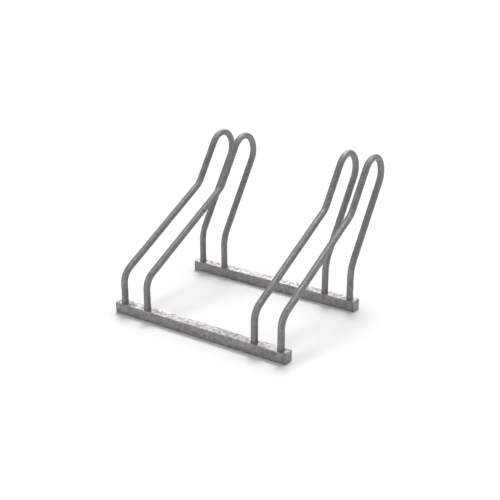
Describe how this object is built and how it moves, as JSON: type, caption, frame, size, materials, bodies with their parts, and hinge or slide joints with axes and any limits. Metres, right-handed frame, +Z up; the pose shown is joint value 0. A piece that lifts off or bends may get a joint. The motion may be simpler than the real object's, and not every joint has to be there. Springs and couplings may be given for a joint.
{
  "type": "bike rack",
  "caption": "Galvanised ground rack for bicycle front wheels: square-tube rails joined by bent round-tube hoops that stand in pairs, each pair a wheel slot.",
  "frame": {"origin": "on the ground, under the middle of the rack's bounding box", "axes": "+X along the two rails, which is the longest extent; +Y from the front rail, which the wheels roll over, to the rear rail and the hoops' heads; +Z up, the shortest extent"},
  "size_m": [0.645, 0.6398, 0.4939],
  "materials": {
    "hoop_zinc": "bent steel tube, hot-dip galvanised: dull grey zinc with faint runs along the tube",
    "rail_zinc": "square steel tube, hot-dip galvanised: brighter zinc with a faint crystal pattern",
    "weld_zinc": "rippled weld bead under hot-dip zinc, duller than the tubes"
  },
  "bodies": {
    "root": {"front_rail": "rail_zinc", "front_rail_left_end_plate": "rail_zinc", "front_rail_left_end_weld": "weld_zinc", "front_rail_right_end_plate": "rail_zinc", "front_rail_right_end_weld": "weld_zinc", "rear_rail": "rail_zinc", "rear_rail_left_end_plate": "rail_zinc", "rear_rail_left_end_weld": "weld_zinc", "rear_rail_right_end_plate": "rail_zinc", "rear_rail_right_end_weld": "weld_zinc", "left_slot_outer_hoop": "hoop_zinc", "left_slot_outer_hoop_front_weld": "weld_zinc", "left_slot_outer_hoop_rear_weld": "weld_zinc", "left_slot_inner_hoop": "hoop_zinc", "left_slot_inner_hoop_front_weld": "weld_zinc", "left_slot_inner_hoop_rear_weld": "weld_zinc", "right_slot_inner_hoop": "hoop_zinc", "right_slot_inner_hoop_front_weld": "weld_zinc", "right_slot_inner_hoop_rear_weld": "weld_zinc", "right_slot_outer_hoop": "hoop_zinc", "right_slot_outer_hoop_front_weld": "weld_zinc", "right_slot_outer_hoop_rear_weld": "weld_zinc"}
  },
  "joints": []
}
